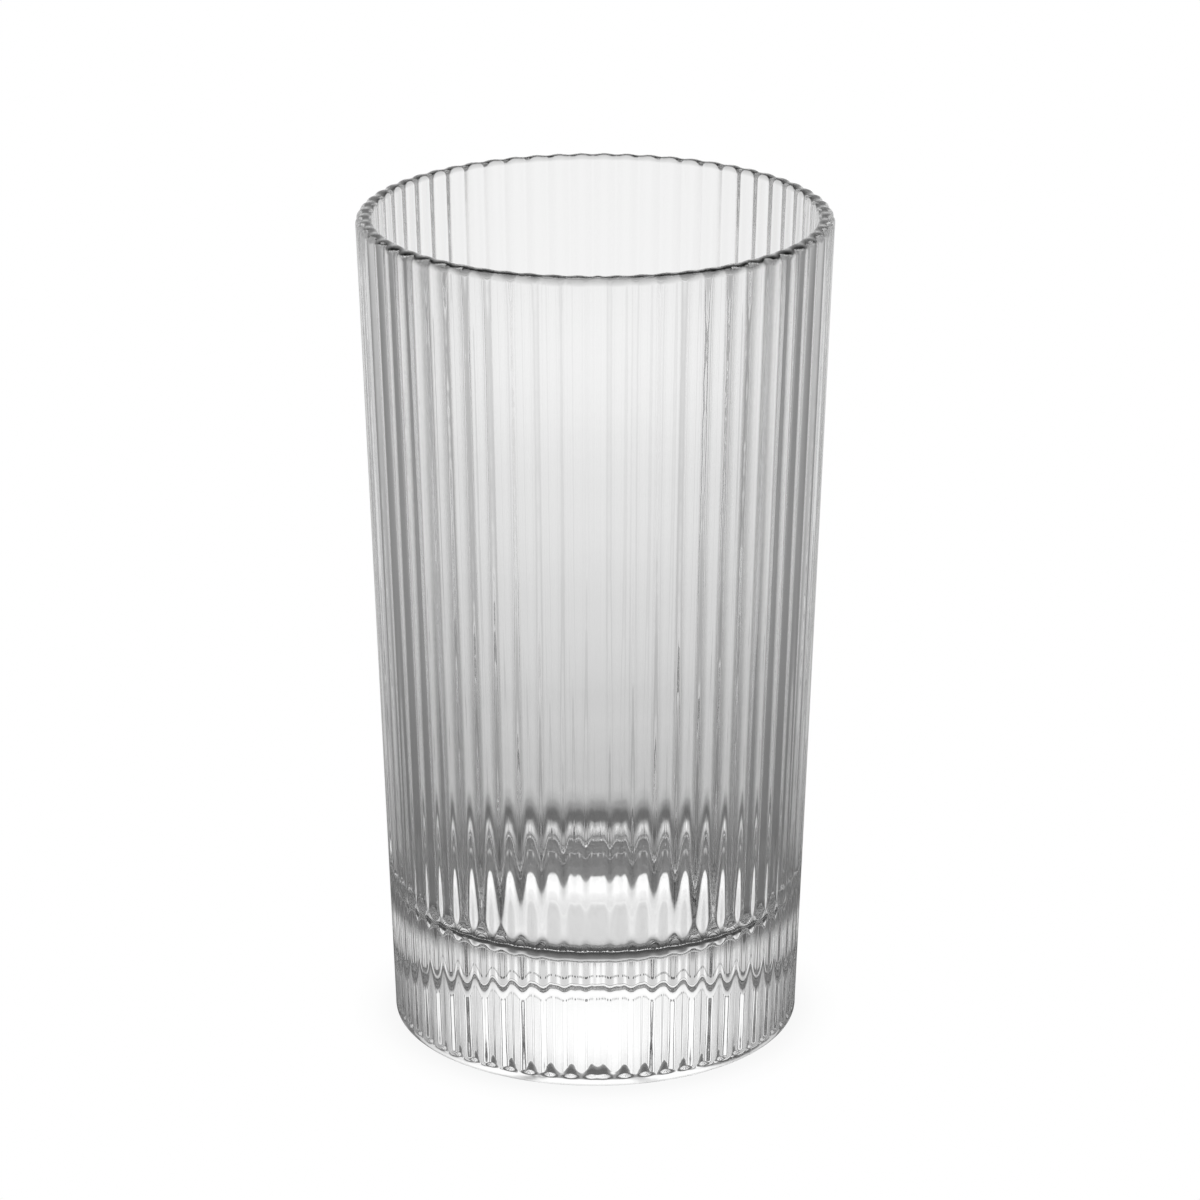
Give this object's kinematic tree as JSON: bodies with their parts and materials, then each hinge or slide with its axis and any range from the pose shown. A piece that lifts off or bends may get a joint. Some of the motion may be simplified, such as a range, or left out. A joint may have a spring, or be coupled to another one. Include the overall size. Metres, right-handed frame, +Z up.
{
  "type": "tall drinking glass",
  "caption": "Tall clear drinking glass with upright ribs outside, a smooth bore, a rounded lip and a heavy solid base.",
  "frame": {"origin": "centre of the foot, on the table", "axes": "+Z up along the glass's axis towards the mouth; the narrow rib of the mould seam faces -Y"},
  "size_m": [0.0798, 0.0798, 0.144],
  "materials": {
    "clear_glass": "clear, fire polished, smooth inside and ribbed outside"
  },
  "bodies": {
    "root": {"tumbler": "clear_glass"}
  },
  "joints": []
}
